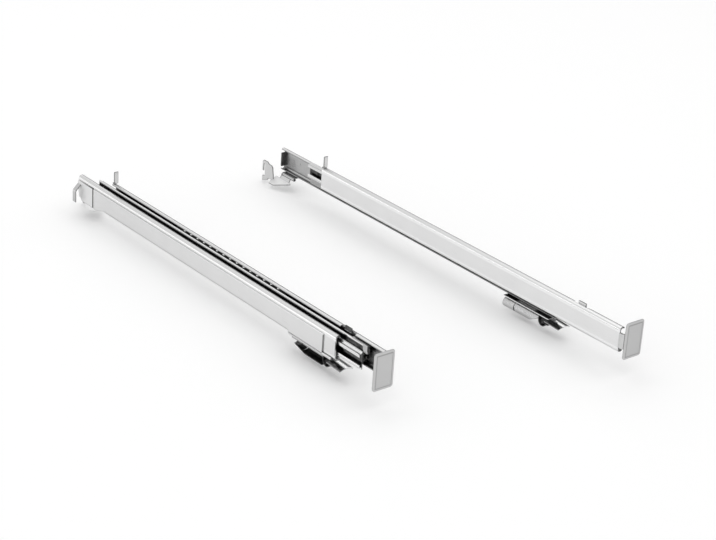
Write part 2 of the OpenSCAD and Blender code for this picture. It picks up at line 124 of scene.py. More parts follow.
# How far from a rounded edge the next ring lies, along the way and across a plate's face. It
# keeps the shading of the flat parts flat.
RING_ALONG = 0.25
RING_ACROSS = 0.15

# Tones run from -1, painted shade, over 0, plain metal, to 1, a painted highlight. These two are
# the painted shade along a cut edge and the painted highlight on the bends between a rail's web
# and its lips.
EDGE_SHADE = -0.6
BEND_HIGHLIGHT = 0.55

# Edges that turn by more than this stay sharp.
SHARP_ANGLE = np.radians(35)


def in_row_frame(points, side, body):
    """A runner's own millimetres as metres in the row frame. The left runner is shifted so that
    the clip's axis is the origin; the right one is mirrored in u, set over by the pair's gap
    and forwards by its stagger and what its body is pulled out."""
    u, y, z = np.asarray(points, float).T
    if side == "right":
        u, y = PAIR_GAP - u, y - PAIR_STAGGER - PULLED.get(body, 0.0)
    return (np.stack([u, y, z], 1) - CLIP_AT) / 1000


# Flat outlines and sheet paths.

def unit(vectors):
    """Each row divided by its length."""
    return vectors / np.maximum(np.linalg.norm(vectors, axis=-1, keepdims=True), 1e-12)


def softened(corners, radius, closed=True):
    """A polygon with its corners rounded. At each corner a quadratic curve runs from a point
    before it to a point after it, (1-t)^2 A + 2t(1-t) P + t^2 B, with A and B at most the
    radius away, and less than half of the shorter side. An open path keeps its two ends."""
    p = np.asarray(corners, float)
    before, after = np.roll(p, 1, 0) - p, np.roll(p, -1, 0) - p
    reach = np.minimum(np.linalg.norm(before, axis=1), np.linalg.norm(after, axis=1)) * 0.45
    reach = np.minimum(reach, np.broadcast_to(radius, reach.shape))[:, None]
    a, b = p + unit(before) * reach, p + unit(after) * reach
    t = np.linspace(0, 1, 6)[None, :, None]
    curve = (1 - t) ** 2 * a[:, None] + 2 * t * (1 - t) * p[:, None] + t ** 2 * b[:, None]
    if closed:
        return curve.reshape(-1, 2)
    return np.concatenate([p[:1], curve[1:-1].reshape(-1, 2), p[-1:]])


def outward(outline):
    """Unit normals of a closed outline, from the chord between each point's neighbours, turned
    to point out whichever way the outline runs."""
    along = np.roll(outline, -1, 0) - np.roll(outline, 1, 0)
    x, y = outline.T
    area = np.sum(x * np.roll(y, -1) - np.roll(x, -1) * y)
    return unit(np.stack([along[:, 1], -along[:, 0]], 1)) * (1 if area > 0 else -1)


def toned(outline, tone):
    """An outline with its tone as third column, one number or one for each point."""
    return np.column_stack([outline, np.broadcast_to(tone, len(outline))])


def sheet_outline(path, thickness, right=0.0, left=0.0, ends=EDGE_SHADE):
    """The closed outline of a sheet whose middle follows an open path: the path shifted half the
    thickness to each side, joined by a half circle at each end. The third column is the tone of
    the side on the right of the path, of the side on its left, and of the two cut ends."""
    path = np.asarray(path, float)
    ahead = unit(np.gradient(path, axis=0))
    side = np.stack([ahead[:, 1], -ahead[:, 0]], 1)
    half = thickness / 2
    turn = np.linspace(0, np.pi, 7)[1:-1, None]
    tip = path[-1] + half * (np.cos(turn) * side[-1] + np.sin(turn) * ahead[-1])
    tail = path[0] - half * (np.cos(turn) * side[0] + np.sin(turn) * ahead[0])
    return np.concatenate([toned(path + half * side, right), toned(tip, ends),
                           toned(path - half * side, left)[::-1], toned(tail, ends)])


def arc(centre, radius, start, stop, count):
    """Points on a circle, at even angles in degrees."""
    angle = np.radians(np.linspace(start, stop, count))
    return np.asarray(centre) + radius * np.stack([np.cos(angle), np.sin(angle)], 1)


def straight(start, stop):
    """A line with a close pair of points at each end, which keeps its shading flat."""
    t = np.array([0, 0.03, 0.97, 1])[:, None]
    return np.asarray(start, float) * (1 - t) + np.asarray(stop, float) * t


# Surfaces.

def carried(outline, start, stop, edge, steps=5, plate=False, cut=EDGE_SHADE):
    """Rings that carry a closed outline (a, b, tone) from start to stop with rounded edges. Ring k
    sits edge (1 - cos w) inside its end and is drawn in by edge (1 - sin w), w from 0 to 90
    degrees. A plate has one more ring on each face, just inside its edge. Either end may be one
    number or one for each point. A rounded edge takes the darker of the outline's tone and cut,
    the painted shade of an edge, unless the outline has a painted highlight there. Columns are a,
    b, the way carried and the tone."""
    outline = np.asarray(outline, float)
    if outline.shape[1] == 2:
        outline = toned(outline, 0.0)
    flat, tone = outline[:, :2], outline[:, 2]
    length = np.mean(stop) - np.mean(start)
    w = np.linspace(0, np.pi / 2, steps)
    drawn_in = np.append(edge * (1 - np.sin(w)), 0)
    gone = np.append(edge * (1 - np.cos(w)), min(edge + RING_ALONG, 0.45 * abs(length)))
    tones = np.tile(np.where(tone > 0, tone, np.minimum(tone, cut)), (steps + 1, 1))
    if plate:
        drawn_in, gone = np.append(edge + RING_ACROSS, drawn_in), np.append(0, gone)
        tones = np.concatenate([np.minimum(tone, 0)[None], tones])
    else:
        tones[-1] = tone
    ones = np.ones(len(flat))
    first = start * ones + np.sign(length) * gone[:, None]
    last = (stop * ones - np.sign(length) * gone[:, None])[::-1]
    both = np.concatenate([drawn_in, drawn_in[::-1]])[:, None, None]
    return np.concatenate([flat - both * outward(flat), np.concatenate([first, last])[..., None],
                           np.concatenate([tones, tones[::-1]])[..., None]], 2)


def sharp_form(outline, start, stop):
    """An outline carried with edges that are as good as sharp, for a form that is cut out."""
    return carried(outline, start, stop, 0.01, 2)


def banded(rings, places, tones, where=True):
    """Rings added between the two middle ones of a straight piece, at places along its way, where
    the outline takes the darker of its own tone and the one given."""
    half = len(rings) // 2
    extra = np.repeat(rings[half:half + 1], len(places), 0)
    extra[..., 2] = np.array(places)[:, None]
    darker = np.minimum(extra[..., 3], np.array(tones)[:, None])
    extra[..., 3] = np.where(where, darker, extra[..., 3])
    return np.concatenate([rings[:half], extra, rings[half:]])


def along_y(rings):
    """Outline columns are u and z, carried along y."""
    return rings[..., [0, 2, 1, 3]]


def across_u(rings):
    """Outline columns are y and z, carried along u."""
    return rings[..., [2, 0, 1, 3]]


def moved(rings, u=0.0, z=0.0):
    """Rings set over by u and z."""
    return rings + np.array([u, 0, z, 0])


def turned_over(rings):
    """The wall side's form turned round into the tray side's: u becomes the section's width
    less u."""
    return rings * np.array([-1, 1, 1, 1]) + np.array([SECTION_W, 0, 0, 0])


def tilted(rings, axis, degrees, pivot):
    """Every point turned about an axis (X for u, Y or Z) through the pivot, by the rotation matrix
    of that angle."""
    turn = np.array(Matrix.Rotation(np.radians(degrees), 3, axis))
    return np.concatenate([(rings[..., :3] - pivot) @ turn.T + pivot, rings[..., 3:]], 2)


def shell_faces(count, size, points):
    """Faces of one closed shell: a band of quads from each ring to the next, and a flat end on the
    first and the last ring. They are turned outwards: the signed volume, the sum over their
    triangles of a . (b x c) / 6, is made positive."""
    k, i = np.meshgrid(np.arange(count - 1), np.arange(size), indexing="ij")
    j = (i + 1) % size
    quads = np.stack([k * size + i, k * size + j, (k + 1) * size + j, (k + 1) * size + i], -1)
    quads = quads.reshape(-1, 4)
    ends = np.stack([np.arange(size)[::-1], np.arange(size) + (count - 1) * size])
    fans = np.stack([np.broadcast_to(ends[:, :1], (2, size - 2)), ends[:, 1:-1], ends[:, 2:]], -1)
    triangles = np.concatenate([quads[:, [0, 1, 2]], quads[:, [0, 2, 3]], fans.reshape(-1, 3)])
    a, b, c = points[triangles].transpose(1, 0, 2)
    if np.einsum("ij,ij->", a, np.cross(b, c)) < 0:
        return quads[:, ::-1], ends[:, ::-1]
    return quads, ends


def closed_mesh(name, shells, side, body):
    """One mesh of closed shells, each given by its rings, with the tone of every corner. The two
    end faces of a shell are flat."""
    points, faces, smooth, tones, first = [], [], [], [], 0
    for rings in shells:
        count, size = rings.shape[:2]
        flat = rings.reshape(-1, 4)
        place = in_row_frame(flat[:, :3], side, body)
        quads, ends = shell_faces(count, size, place)
        faces += (first + quads).tolist() + (first + ends).tolist()
        smooth += [True] * len(quads) + [False, False]
        points.append(place)
        tones.append(flat[:, 3])
        first += count * size
    mesh = bpy.data.meshes.new(name)
    mesh.from_pydata(np.concatenate(points).tolist(), [], faces)
    mesh.polygons.foreach_set("use_smooth", smooth)
    corners = np.empty(len(mesh.loops), np.int32)
    mesh.loops.foreach_get("vertex_index", corners)
    corner_tones = mesh.attributes.new("tone", "FLOAT", "CORNER")
    corner_tones.data.foreach_set("value", np.concatenate(tones)[corners])
    mesh.set_sharp_from_angle(angle=SHARP_ANGLE)
    mesh.update()
    return mesh


def build(name, shells, side, body, finish, replaces=(), cutters=()):
    """A piece of closed shells that rides on a body, with the cutters' shells taken out of it."""
    name = side + "_" + name
    piece = bpy.data.objects.new(name, closed_mesh(name, shells, side, body))
    bpy.context.scene.collection.objects.link(piece)
    piece.data.materials.append(FINISHES[finish])
    if cutters:
        take_out(piece, closed_mesh("cutter", cutters, side, body))
    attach(piece, body if body == "rack_side" else side + "_" + body)
    if replaces:
        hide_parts(*[side + "_" + node for node in replaces])


def take_out(piece, cutter_mesh):
    """The piece's mesh less the cutter's."""
    cutter = bpy.data.objects.new("cutter", cutter_mesh)
    bpy.context.scene.collection.objects.link(cutter)
    modifier = piece.modifiers.new("cut", "BOOLEAN")
    modifier.operation = "DIFFERENCE"
    modifier.object = cutter
    solid = piece.evaluated_get(bpy.context.evaluated_depsgraph_get())
    mesh = bpy.data.meshes.new_from_object(solid)
    piece.modifiers.clear()
    piece.data = mesh
    bpy.data.objects.remove(cutter)
    mesh.set_sharp_from_angle(angle=SHARP_ANGLE)


# Materials.

def new_material(name):
    """A node material, its tree and its shader, ready for values and links."""
    material = bpy.data.materials.new(name)
    material.use_nodes = True
    return material, material.node_tree, material.node_tree.nodes["Principled BSDF"]


def noise(tree, place, scale, detail, stretch=(1, 1, 1)):
    """Noise on the piece's own coordinates, stretched along the axes with small numbers."""
    spread = tree.nodes.new("ShaderNodeMapping")
    spread.inputs["Scale"].default_value = stretch
    tree.links.new(place.outputs["Object"], spread.inputs["Vector"])
    field = tree.nodes.new("ShaderNodeTexNoise")
    field.inputs["Scale"].default_value = scale
    field.inputs["Detail"].default_value = detail
    tree.links.new(spread.outputs["Vector"], field.inputs["Vector"])
    return field.outputs["Fac"]


def ranged(tree, value, low, high, out_low, out_high):
    """A value taken from one range to another, and held at its ends."""
    node = tree.nodes.new("ShaderNodeMapRange")
    ends = {"From Min": low, "From Max": high, "To Min": out_low, "To Max": out_high}
    for socket, number in ends.items():
        node.inputs[socket].default_value = number
    tree.links.new(value, node.inputs["Value"])
    return node.outputs["Result"]


def mixed(tree, share, first, second):
    """Two colours mixed by a share. Each is a colour or an output."""
    node = tree.nodes.new("ShaderNodeMix")
    node.data_type = "RGBA"
    tree.links.new(share, node.inputs["Factor"])
    for socket, colour in (("A", first), ("B", second)):
        if isinstance(colour, tuple):
            node.inputs[socket].default_value = (*colour, 1)
        else:
            tree.links.new(colour, node.inputs[socket])
    return node.outputs["Result"]


def combined(tree, operation, first, second):
    """Two values added, multiplied or compared for the larger. Each is a number or an output."""
    node = tree.nodes.new("ShaderNodeMath")
    node.operation = operation
    for socket, value in zip(node.inputs, (first, second)):
        if isinstance(value, float):
            socket.default_value = value
        else:
            tree.links.new(value, socket)
    return node.outputs[0]


# The colours of painted shade and of a painted highlight, mixed into the metal by a piece's tone.
PAINTED_SHADE = (0.02, 0.02, 0.02)
PAINTED_HIGHLIGHT = (0.97, 0.97, 0.97)

# How many times in a metre the noise changes, for the rolling lines, for the mottle and for the
# patches in the painted shade.
LINES = 2600
MOTTLE = 60
PATCHES = 400


def plated_sheet(name, grey, roughness, spread=0.03, mottle=0.04, lines_run=(1, 0.02, 1)):
    """Bright plated sheet. Fine lines run along the rolling direction in the bump and the
    roughness, and a slow mottle changes the grey. Where a piece's tone is below 0 the colour is
    darkened with patchy painted shade, and where it is above 0 it is lightened with a painted
    highlight. Steel darkens where it is seen along its surface, by the shader's tint for that angle."""
    material, tree, shader = new_material(name)
    shader.inputs["Metallic"].default_value = 1.0
    shader.inputs["Specular Tint"].default_value = (0.3, 0.3, 0.3, 1)
    place = tree.nodes.new("ShaderNodeTexCoord")
    rolling = noise(tree, place, LINES, 3, lines_run)
    dull, light = ((grey * share,) * 3 for share in (1 - mottle, 1 + mottle))
    colour = mixed(tree, noise(tree, place, MOTTLE, 5), dull, light)
    tone = tree.nodes.new("ShaderNodeAttribute")
    tone.attribute_name = "tone"
    patchy = ranged(tree, noise(tree, place, PATCHES, 4), 0.3, 0.7, 1.0, 0.86)
    dark = ranged(tree, tone.outputs["Fac"], -1, 0, 1, 0)
    colour = mixed(tree, combined(tree, "MULTIPLY", dark, patchy), colour, PAINTED_SHADE)
    colour = mixed(tree, ranged(tree, tone.outputs["Fac"], 0, 1, 0, 1), colour, PAINTED_HIGHLIGHT)
    tree.links.new(colour, shader.inputs["Base Color"])
    rough = ranged(tree, rolling, 0.25, 0.75, roughness - spread, roughness + spread)
    tree.links.new(rough, shader.inputs["Roughness"])
    bump = tree.nodes.new("ShaderNodeBump")
    bump.inputs["Strength"].default_value = 0.015
    bump.inputs["Distance"].default_value = 0.0002
    tree.links.new(rolling, bump.inputs["Height"])
    tree.links.new(bump.outputs["Normal"], shader.inputs["Normal"])
    return material


FINISHES = {
    "rail_steel": plated_sheet("rail_steel", 0.78, 0.25),
    "satin_steel": plated_sheet("satin_steel", 0.85, 0.5),
    "plate_steel": plated_sheet("plate_steel", 0.53, 0.3, lines_run=(1, 1, 0.03)),
    "spring_steel": plated_sheet("spring_steel", 0.62, 0.18, mottle=0.08),
    "bright_plate": plated_sheet("bright_plate", 0.8, 0.18),
    "stop_steel": plated_sheet("stop_steel", 0.5, 0.25),
    "ball_steel": plated_sheet("ball_steel", 0.75, 0.1, spread=0.02),
    "cage_steel": plated_sheet("cage_steel", 0.1, 0.4),
}

# The finish of a CAD node, where it isn't its slot's name, and the slot that the record gives
# each CAD node.
OWN_FINISH = {"middle_stop": "stop_steel"}
CAD_SLOTS = {part["node"]: part["material_slot"] for part in frame["record"]["subparts"]}
for name, node in frame["nodes"].items():
    finish = OWN_FINISH.get(name.split("_", 1)[1], CAD_SLOTS[name])
    node.data.materials.clear()
    node.data.materials.append(FINISHES[finish])


# The pieces of one runner.

def c_section(inside):
    """The rolled C of a rail as a sheet outline. The path is an arc about the upper ball row, the
    web, and an arc about the lower row. It has a painted highlight where the outside turns into the
    web, and the inside has painted shade of its own."""
    path_r = (GROOVE_R + LIP_R) / 2
    tip = 180 - LIP_TURN + np.degrees(RAIL_T / 2 / path_r)
    upper = arc((LIP_R, 0), path_r, tip, 180, 36)
    near_bend = np.array([0.6, 1.2, 1.6])
    down = np.append(near_bend, (ROW_SPAN - near_bend)[::-1])
    web = np.stack([np.full(len(down), LIP_R - path_r), -down], 1)
    lower = upper[::-1] * [1, -1] - [0, ROW_SPAN]
    path = np.concatenate([upper, web, lower])
    from_row = np.minimum(-path[:, 1], path[:, 1] + ROW_SPAN)
    bend = (path[:, 0] < 0.95) & (from_row < 1.4)
    return sheet_outline(path, RAIL_T, right=BEND_HIGHLIGHT * bend, left=inside)


def fixed_rail(side):
    """The rail on the rack side, carried from its rear end to its front, with two gauge holes and
    its rear end turned in. Its inside has painted shade that deepens towards the rear end, the
    turned-in end has the deepest of it, and the web has painted shade where it shows in the seam
    behind the holder plate."""
    inside, inside_rear = -0.45, -0.85
    outline = c_section(inside)
    rings = carried(outline, WALL_RAIL_REAR, -WALL_RAIL_FRONT, RAIL_EDGE)
    rings[:len(rings) // 2, :, 3] += np.where(outline[:, 2] == inside, inside_rear - inside, 0.0)
    seam = HOLDER_REAR + np.array([15.0, 1.5, 1.45, -0.05, -0.1])
    web_face = (outline[:, 0] < 0.2) & (outline[:, 1] < -1.1)
    rings = banded(rings, seam, [1, 1, -0.97, -0.97, 1], web_face)
    section = moved(along_y(rings), z=-RAIL_DROP)
    holes = []
    for from_end in GAUGE_HOLES:
        middle = (WALL_RAIL_REAR - from_end, -RAIL_DROP - GAUGE_DROP)
        holes.append(across_u(sharp_form(arc(middle, GAUGE_R, 0, 345, 24), -1.0, 2.0)))
    build("wall_channel", [section], side, "rack_side", "rail_steel", ["fixed_rail"], holes)

    low = -RAIL_DROP - ROW_SPAN + 0.5
    high = low + 13.2
    inner, outer = 0.6, 5.3
    flap = softened([(inner, low), (outer, low), (outer, high), (inner, high)], 0.8)
    rings = carried(toned(flap, inside_rear), WALL_RAIL_REAR, WALL_RAIL_REAR - RAIL_T, RAIL_EDGE,
                    plate=True)
    build("turned_end", [along_y(rings)], side, "rack_side", "rail_steel")


def middle_half(hollow_web, back_web, cradles, between):
    """Half of the middle rail: a straight web, and at each ball row a cradle, which is part of a
    circle about the row, with a hem that hangs from it. The tones, painted shade below 0 and a
    painted highlight above it, are those of the web's hollow side and of its back, both below its
    upper edge, of the cradles near both ends, and of the cradles between them."""
    half_t = MIDDLE_T / 2
    cradle_r = GROOVE_R + MIDDLE_T
    web_u = SECTION_W / 2 - half_t
    web = np.array([(web_u, -half_t), (web_u, -1.45), (web_u, -1.85)])
    web = np.concatenate([web, straight((web_u, -1.9), (web_u, half_t - ROW_SPAN))[1:]])
    below_edge = np.array([0, 0, 1, 1, 1, 1])
    outline = sheet_outline(web, MIDDLE_T, right=hollow_web * below_edge,
                            left=back_web * below_edge, ends=0.0)
    shells = [carried(outline, MIDDLE_REAR, -MIDDLE_FRONT, RAIL_EDGE)]
    sine_of_15 = 0.2588
    hem_u = LIP_R - cradle_r * sine_of_15 + half_t
    places = [-5, -9, -WALL_RAIL_FRONT, -WALL_RAIL_FRONT - 4]
    tones = [cradles, between, between, cradles]
    for row, way in ((0, 1), (-ROW_SPAN, -1)):
        cradle = arc((LIP_R, 0), GROOVE_R + half_t, -20, -103, 20) * [1, way] + [0, row]
        hem_z = row - way * (cradle_r + np.array([-0.4, 1.5]))
        hem = np.stack([np.full(2, hem_u), hem_z], 1)
        for path in (cradle, hem):
            outline = sheet_outline(path, MIDDLE_T, right=cradles, left=cradles, ends=cradles)
            rings = carried(outline, MIDDLE_REAR, -MIDDLE_FRONT, RAIL_EDGE)
            shells.append(banded(rings, places, tones))
    return [along_y(rings) for rings in shells]


def middle_rail(side):
    """The two halves back to back. The wall half sits lower by the rails' drop; its web has painted
    shade and its cradles a faint painted highlight. The tray half has deeper painted shade all
    over, least on its cradles near both ends."""
    wall_half = middle_half(hollow_web=-0.95, back_web=-0.55, cradles=0.25, between=0.25)
    wall_half = [moved(rings, z=-RAIL_DROP) for rings in wall_half]
    build("middle_wall_channel", wall_half, side, "middle", "bright_plate",
          ["middle_rail_wall_half"])
    tray_half = middle_half(hollow_web=-1.0, back_web=-1.0, cradles=-0.1, between=-0.8)
    tray_half = [turned_over(rings) for rings in tray_half]
    build("middle_tray_channel", tray_half, side, "middle", "bright_plate",
          ["middle_rail_tray_half"])


def tray_rail(side):
    """The rail that carries the tray, with the notch in its upper lip, the lug that stands up in
    the notch, and the neck that bends round behind the front plate: straight on, a quarter
    circle, and straight across."""
    # Painted shade on the rail's inside.
    section = turned_over(along_y(carried(c_section(-0.82), 0, -RAIL_FRONT, RAIL_EDGE)))
    start, lug_start, lug_stop, stop = NOTCH
    lip_u, row_u, lug_u = 5.9, 9.05, 7.45
    plan = np.array([(lip_u, start), (row_u, start), (row_u, lug_start), (lug_u, lug_start),
                     (lug_u, lug_stop), (row_u, lug_stop), (row_u, stop), (lip_u, stop)])
    # The cutter carries the painted shade of an edge to the notch's cut faces.
    notch = sharp_form(toned(plan, EDGE_SHADE), 0.75, 3.75)
    build("tray_channel", [section], side, "tray_side", "rail_steel", ["tray_rail"], [notch])

    low, high = 1.8, 5.05
    lug = softened([(lug_start, low), (lug_start, high), (lug_stop, high), (lug_stop, low)], 0.4)
    rings = across_u(carried(lug, lug_u, lug_u + RAIL_T, PLATE_EDGE, plate=True))
    # Painted shade on the lug's face towards the rack side.
    rings[:len(rings) // 2, :, 3] = -0.95
    build("tray_lug", [rings], side, "tray_side", "rail_steel")

    bend, half_t = 2.4, RAIL_T / 2
    path = np.concatenate([[(SECTION_W - half_t, 0.3 - RAIL_FRONT)],
                           arc((SECTION_W - bend, PLATE_BACK + bend), bend - half_t, 0, -90, 12),
                           [(SECTION_W - bend - 5, PLATE_BACK + half_t)]])
    # Painted shade on the neck behind the front plate, deeper on the inside of its bend.
    outline = sheet_outline(path, RAIL_T, right=-0.6, left=-0.25)
    build("tray_neck", [carried(outline, 1.2 - ROW_SPAN, -1.2, RAIL_EDGE)], side, "tray_side",
          "rail_steel")


def holder_plate(side):
    """The flat plate on the rack side, with a painted highlight along its top edge, and the front
    tab's fold, an L whose bend follows a quarter circle. The fold's upper face has painted shade
    near both ends, and the fold's long edges a painted highlight."""
    front_tab = HOLDER_FRONT - FRONT_TAB
    slant = (HOLDER_BOTTOM - FOLD_BOTTOM) / 3
    half_t = HOLDER_T / 2
    fold_z = FOLD_BOTTOM + half_t
    corners = [(HOLDER_REAR, HOLDER_TOP), (HOLDER_REAR, FOLD_BOTTOM), (HOLDER_REAR - 4.5, FOLD_BOTTOM),
               (HOLDER_REAR - 18, HOLDER_BOTTOM), (-front_tab + slant, HOLDER_BOTTOM),
               (-front_tab, fold_z), (-HOLDER_FRONT, fold_z), (-HOLDER_FRONT, HOLDER_TOP)]
    outline = softened(corners, [0.6, 0.6, 2, 4, 1.2, 0.6, 0.8, 0.8])
    top_edge = outline[:, 1] > HOLDER_TOP - 0.7
    rings = across_u(carried(toned(outline, top_edge), -HOLDER_T, 0.0, PLATE_EDGE, plate=True))
    build("holder_sheet", [rings], side, "rack_side", "rail_steel", ["holder_plate"])

    bend = FOLD_BOTTOM + 1.5
    path = np.concatenate([straight((-half_t, FOLD_TOP + 1.5), (-half_t, bend))[:2],
                           arc((0.5, bend), 1.0, 180, 270, 8),
                           straight((0.8, fold_z), (8.1, fold_z))])
    outline = sheet_outline(path, HOLDER_T, ends=0.6)
    upper_face = (outline[:, 0] > 0.8) & (outline[:, 1] > FOLD_BOTTOM + 0.7) & (outline[:, 2] == 0)
    light_rear, light_front = -282, -300
    places = [-front_tab - 1.2, light_rear + 3, light_rear, light_front, light_front - 3,
              -HOLDER_FRONT - 10.2]
    rings = carried(outline, -front_tab, -HOLDER_FRONT - 11, SPRING_EDGE)
    rings = banded(rings, places, [-1.0, -1.0, 0.0, 0.0, -0.95, -0.95], upper_face)
    build("front_fold", [along_y(rings)], side, "rack_side", "rail_steel")


def rear_hook(side):
    """The plate behind the seam, the strip that hooks over a rack bar, and the fold whose edge
    rolls down round three quarters of a circle. Painted shade darkens the plate's edge at the seam
    most, its other edges less and its top edge hardly at all; the fold has deep painted shade on
    its underside and inside the roll, and light painted shade on its other face."""
    front, rear, fold_rear = HOLDER_REAR + 0.8, WALL_RAIL_REAR, WALL_RAIL_REAR - 6
    seam, shoulder = front + 0.6, -10.6
    fold_z = FOLD_BOTTOM + 0.2
    corners = [(rear, HOLDER_TOP), (rear, shoulder - 6), (fold_rear, fold_z), (seam, fold_z),
               (seam, HOLDER_TOP)]
    outline = softened(corners, [1.2, 4, 2, 0.5, 0.5])
    cut = np.where(outline[:, 1] > HOLDER_TOP - 0.7, -0.1, EDGE_SHADE)
    cut = np.where(outline[:, 0] < seam + 0.6, -1.0, cut)
    rings = across_u(carried(outline, -HOOK_T, 0.0, 0.3, plate=True, cut=cut))
    build("hook_sheet", [rings], side, "rack_side", "satin_steel", ["rear_hook"])

    out = -5.7
    path = softened([(-0.5, shoulder + 0.65), (out, shoulder - 4.6), (out, -25.3)], 1.3, closed=False)
    rings = along_y(carried(sheet_outline(path, HOOK_T), rear, rear - 4.8, RAIL_EDGE))
    build("hook_strip", [rings], side, "rack_side", "spring_steel")

    roll_u, edge_z = 6.9, FOLD_TOP - HOOK_T / 2
    path = np.concatenate([straight((-0.3, edge_z), (roll_u - 0.2, edge_z)),
                           arc((roll_u, FOLD_TOP - 1.6), 1.2, 88, -180, 28)])
    outline = sheet_outline(path, HOOK_T, right=-0.8, left=-0.2)
    build("hook_roll", [along_y(carried(outline, fold_rear, seam, RAIL_EDGE))], side, "rack_side",
          "spring_steel")


def rear_bracket(side):
    """The upright with its two prongs, the sloping flap and the web between flap and roll, each a
    flat sheet with soft corners. The flap is turned down about its inner edge."""
    flap_u, flap_z = 9.4, FOLD_BOTTOM - 4.9
    front, rear = WALL_RAIL_REAR, WALL_RAIL_REAR + 15.4
    low, foot, cut_corner, prong, slot = flap_z - 8, 5.2, 1.6, 1.9, 3.8
    top = low + 20.6
    shoulder, slot_top, prong_end = top - cut_corner, top - 3.4, top - 10.6
    corners = [(front - 2, low + foot), (front, top - 3.2), (front + 1.9, shoulder),
               (front + 5.7, shoulder), (front + 7.6, top), (rear - cut_corner, top),
               (rear, shoulder), (rear, prong_end), (rear - prong, prong_end),
               (rear - prong, slot_top), (rear - slot, slot_top), (rear - slot, low + 6),
               (rear, low + foot), (rear, low), (rear - 7.7, low + 2.6), (rear - 9.7, low + foot)]
    upright_u = 13.4
    rings = carried(softened(corners, 0.8), upright_u, upright_u + BRACKET_T, SPRING_EDGE, plate=True)
    build("bracket_upright", [across_u(rings)], side, "rack_side", "spring_steel", ["rear_bracket"])

    width = 10.6
    corners = [(0, front), (0, front - 21), (1.2, front - 23.5), (width, front - 8), (width, front - 1)]
    rings = carried(softened(corners, 0.9), 0.0, BRACKET_T, SPRING_EDGE, plate=True)
    pivot = np.array([flap_u, 0, flap_z])
    build("bracket_flap", [tilted(moved(rings, flap_u, flap_z), "Y", 25, pivot)], side, "rack_side",
          "satin_steel")

    path = straight((8.4, FOLD_TOP - 2.5), (flap_u + 0.5, flap_z + 0.4))
    rings = carried(sheet_outline(path, 0.9), front - 6, front - 20, SPRING_EDGE)
    build("bracket_web", [along_y(rings)], side, "rack_side", "spring_steel")


def front_clip(side):
    """Two rolled sleeves and a tail round the rack bar, each part of a circle from the bottom over
    the top, a flat lip that widens along them, and the spine under the fold. The right clip's
    tail is cut to a slant: its end moves back in step with the depth below the slant's top."""
    u, _, z = CLIP_AT
    rear, sleeve_front, tail_rear, front = -266.4, -279.4, -280.4, -306.4
    # Painted shade on the sleeves' insides, on the lips all over and on the spine, deepening towards
    # its rear.
    outline = sheet_outline(arc((u, z), CLIP_R - CLIP_T / 2, -90, 138, 40), CLIP_T, left=-0.85)
    if side == "left":
        tail_end, lip_front = front, front
    else:
        below = np.clip((z + 2.1 - outline[:, 1]) / 7.2, 0, 1)
        tail_end, lip_front = front - 1.0 + 14 * below, -295.6
    build("clip_rear_sleeve", [along_y(carried(outline, rear, sleeve_front, SPRING_EDGE))], side,
          "rack_side", "spring_steel", ["front_clip"])
    build("clip_front_sleeve", [along_y(carried(outline, tail_rear, tail_end, SPRING_EDGE))], side,
          "rack_side", "spring_steel")

    inner, lip = u + 0.3, 4.5
    rear_lip = np.array([(inner, sleeve_front), (inner, rear), (u, rear), (u - 3.25, sleeve_front)])
    front_lip = np.array([(inner, lip_front), (inner, tail_rear), (u - 3.5, tail_rear),
                          (u - lip, tail_rear - 4), (u - lip, lip_front)])
    for name, plan in (("clip_rear_lip", rear_lip), ("clip_front_lip", front_lip)):
        rings = carried(toned(softened(plan, 0.5), -1.0), z - CLIP_R, z - CLIP_R + CLIP_T,
                        SPRING_EDGE, plate=True, cut=-1.0)
        build(name, [rings], side, "rack_side", "spring_steel")

    low, high = z + 3.3, FOLD_BOTTOM + 0.05
    spine = softened([(rear, low), (rear, high), (front, high), (front, low)], 0.5)
    tone = np.interp(spine[:, 0], [front, rear], [-0.3, -1.0])
    rings = carried(toned(spine, tone), u - CLIP_T / 2, u + CLIP_T / 2, 0.2, plate=True)
    build("clip_spine", [across_u(rings)], side, "rack_side", "spring_steel")


def catch(side):
    """A strip that comes down from the fold, curls forward round a circle and ends in a toe."""
    width, drop, outer_r = 9.0, 3.0, 4.6
    strip_y = CATCH_REAR - TONGUE_T / 2
    curl = arc((CATCH_REAR - outer_r, FOLD_BOTTOM - drop), outer_r - TONGUE_T / 2, 0, -160, 30)
    path = np.concatenate([straight((strip_y, FOLD_BOTTOM + 0.1), (strip_y, FOLD_BOTTOM - drop + 0.2)),
                           curl, curl[-1:] + np.array([[-0.6, 0.1], [-2.6, 0.1]])])
    # Painted shade on both faces of the strip.
    outline = sheet_outline(path, TONGUE_T, right=-1.0, left=-0.85)
    build("catch_strip", [across_u(carried(outline, 0.0, width, SPRING_EDGE))], side, "rack_side",
          "spring_steel", ["catch"])


def guide_tongue(side):
    """A shallow arch, part of a circle in section, carried forwards on a gentle slope. The half of its
    upper face on the camera's left has a painted dark reflection, the rest of that face a painted
    highlight, and its underside painted shade."""
    radius, length, slope = 16.0, 16.5, 3
    u = CLIP_AT[0] - 1.5
    path = arc((u, FOLD_BOTTOM - radius), radius - TONGUE_T / 2, 67, 113, 18)
    rightwards = (path[:, 0] - u) * (1 if side == "left" else -1)
    outline = sheet_outline(path, TONGUE_T, right=np.where(rightwards < -1.6, -0.9, 0.6), left=-0.6)
    rings = along_y(carried(outline, TONGUE_REAR, TONGUE_REAR - length, SPRING_EDGE))
    pivot = np.array([u, TONGUE_REAR, FOLD_BOTTOM])
    build("tongue_arch", [tilted(rings, "X", slope, pivot)], side, "rack_side", "bright_plate",
          ["guide_tongue"])


